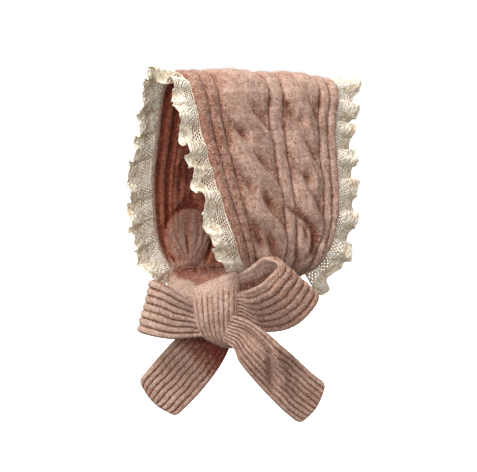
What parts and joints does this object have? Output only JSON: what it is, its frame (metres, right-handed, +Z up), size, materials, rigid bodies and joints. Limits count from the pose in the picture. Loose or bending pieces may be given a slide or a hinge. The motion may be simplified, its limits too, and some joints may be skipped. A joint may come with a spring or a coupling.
{
  "type": "knitted baby bonnet with lace ruffles and bow ties",
  "caption": "Cable-knit baby bonnet: a broad band over the crown with a lace ruffle along both edges and rib-knit ties in a bow.",
  "frame": {"origin": "inside of the crown, where the bonnet sits on top of the head", "axes": "+Z up, the face opening looks out to -Y, the wearer's left is +X"},
  "size_m": [0.1733, 0.23, 0.3203],
  "materials": {
    "cable_knit": "brushed heathered dusty rose wool knitted in rope cables and ribs",
    "rib_knit": "the same heathered dusty rose wool knitted in ribs",
    "crochet_lace": "matt cream cotton lace, a net of eyelets with a scalloped picot edge"
  },
  "bodies": {
    "root": {"hood_panel": "cable_knit", "front_lace_ruffle": "crochet_lace", "back_lace_ruffle": "crochet_lace", "bow_knot": "rib_knit", "strap_right": "rib_knit", "strap_left": "rib_knit", "bow_loop_right": "rib_knit", "bow_loop_left": "rib_knit", "tie_tail_right": "rib_knit", "tie_tail_left": "rib_knit"}
  },
  "joints": []
}
